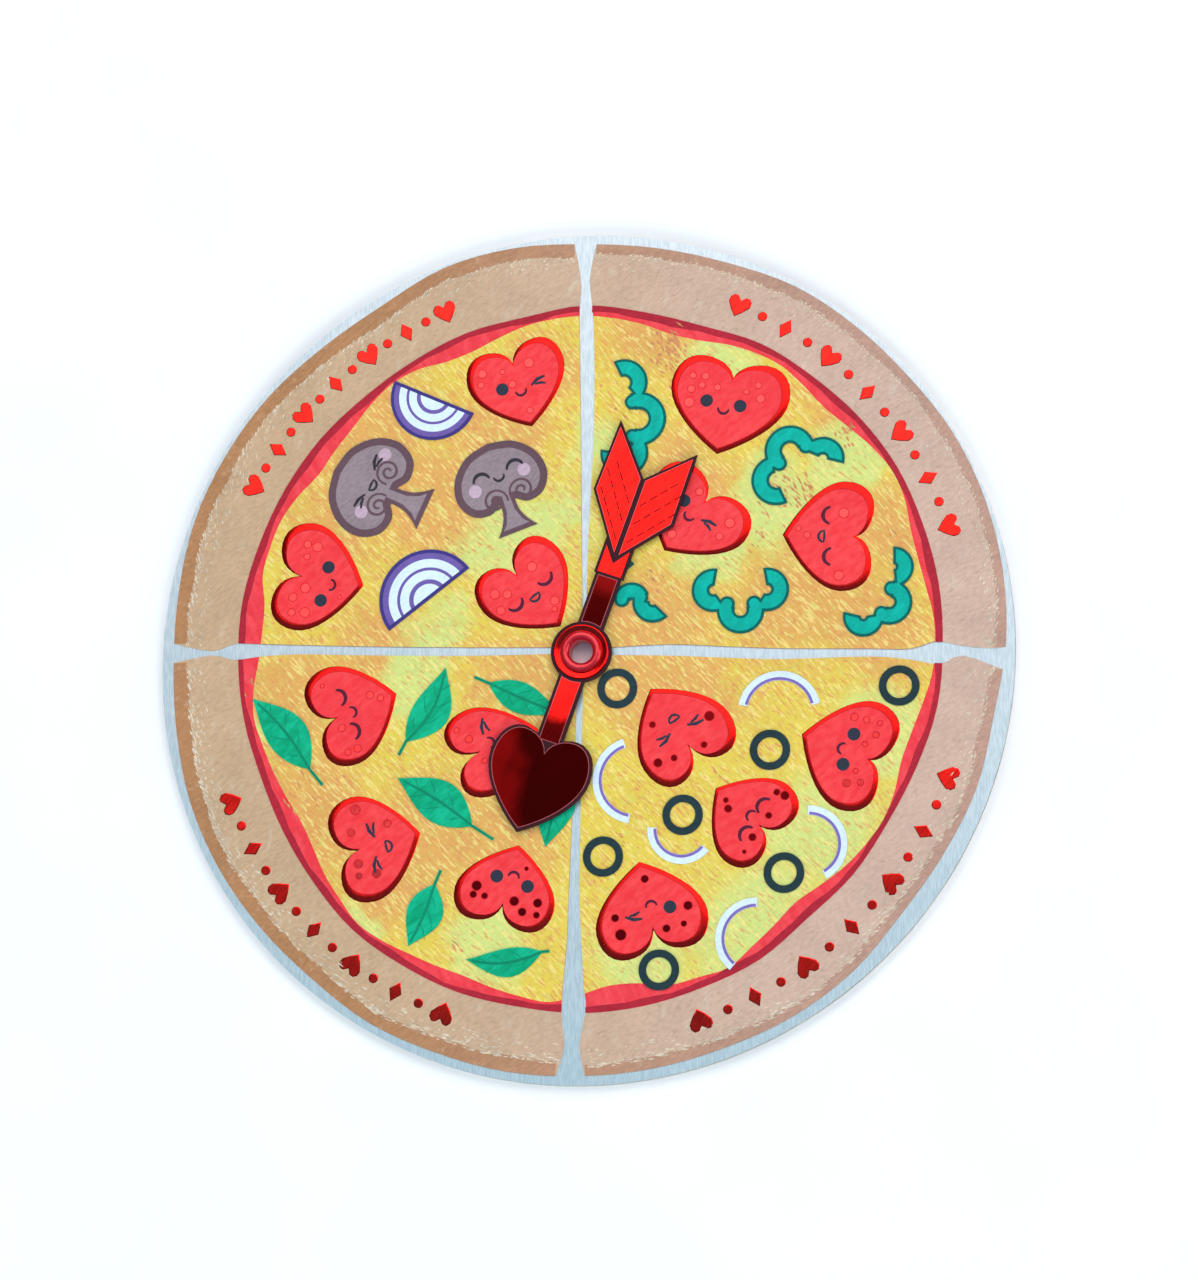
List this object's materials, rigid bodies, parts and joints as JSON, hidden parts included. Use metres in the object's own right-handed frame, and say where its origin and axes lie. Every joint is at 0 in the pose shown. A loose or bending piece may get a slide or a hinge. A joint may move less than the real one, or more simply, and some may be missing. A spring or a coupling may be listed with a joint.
{
  "type": "game spinner",
  "caption": "Flat round card game spinner with four pizza wedges, raised heart toppings and a foil arrow that turns freely on a metal eyelet.",
  "frame": {"origin": "centre of the board's back face, on the eyelet's axis", "axes": "+Z out of the board's face along the eyelet, +Y towards the gap between the two upper wedges, +X to the right as the face is seen"},
  "size_m": [0.15, 0.15, 0.0041],
  "materials": {
    "white_card": "uncoated white card",
    "grey_board": "raw grey board",
    "silver_foil": "silver foil on paper, soft metallic shine",
    "crust_print": "printed paper, matt varnish",
    "sauce_print": "printed paper, matt varnish",
    "cheese_print": "printed paper, matt varnish",
    "heart_foil": "red foil on paper, metallic shine",
    "onion_print": "printed paper, matt varnish",
    "mushroom_print": "printed paper, matt varnish",
    "pepper_print": "printed paper, matt varnish",
    "leaf_print": "printed paper, matt varnish",
    "olive_print": "printed paper, matt varnish",
    "sliver_print": "printed paper, matt varnish",
    "red_metal": "glossy red lacquer",
    "washer_plastic": "plain",
    "arrow_card": "printed dark edge",
    "dark_foil": "deep red foil, mirror-like",
    "red_foil": "bright red foil, mirror-like"
  },
  "bodies": {
    "board": {"back_cover": "white_card", "core_board": "grey_board", "foil_sheet": "silver_foil", "crust_upper_right": "crust_print", "crust_upper_left": "crust_print", "crust_lower_left": "crust_print", "crust_lower_right": "crust_print", "sauce_upper_right": "sauce_print", "sauce_upper_left": "sauce_print", "sauce_lower_left": "sauce_print", "sauce_lower_right": "sauce_print", "cheese_upper_right": "cheese_print", "cheese_upper_left": "cheese_print", "cheese_lower_left": "cheese_print", "cheese_lower_right": "cheese_print", "heart_winking": "heart_foil", "heart_left": "heart_foil", "heart_upper_hub": "heart_foil", "heart_large": "heart_foil", "heart_under_tail": "heart_foil", "heart_right": "heart_foil", "heart_lower_hub": "heart_foil", "heart_lower_right": "heart_foil", "heart_small": "heart_foil", "heart_bottom_right": "heart_foil", "heart_lower_left": "heart_foil", "heart_under_head": "heart_foil", "heart_outer_left": "heart_foil", "heart_bottom_left": "heart_foil", "onion_half_upper": "onion_print", "onion_half_lower": "onion_print", "mushroom_left": "mushroom_print", "mushroom_right": "mushroom_print", "pepper_top": "pepper_print", "pepper_middle": "pepper_print", "pepper_lower": "pepper_print", "pepper_right": "pepper_print", "pepper_under_shaft": "pepper_print", "leaf_centre": "leaf_print", "leaf_left": "leaf_print", "leaf_upper": "leaf_print", "leaf_middle": "leaf_print", "leaf_under_head": "leaf_print", "leaf_bottom_left": "leaf_print", "leaf_bottom": "leaf_print", "olives": "olive_print", "onion_slivers": "sliver_print", "eyelet": "red_metal", "spacer_washer": "washer_plastic"},
    "arrow": {"arrow_card": "arrow_card", "head_facing": "dark_foil", "front_facing": "red_foil", "rear_facing": "dark_foil", "sleeve_facing": "red_foil", "left_vane": "red_foil", "right_vane": "red_foil", "hub_facing": "red_foil"}
  },
  "joints": [
    {"name": "arrow_spin", "type": "hinge", "parent": "board", "child": "arrow", "pos_m": [0, 0, 0.003], "axis": [0, 0, 1], "continuous": true}
  ]
}
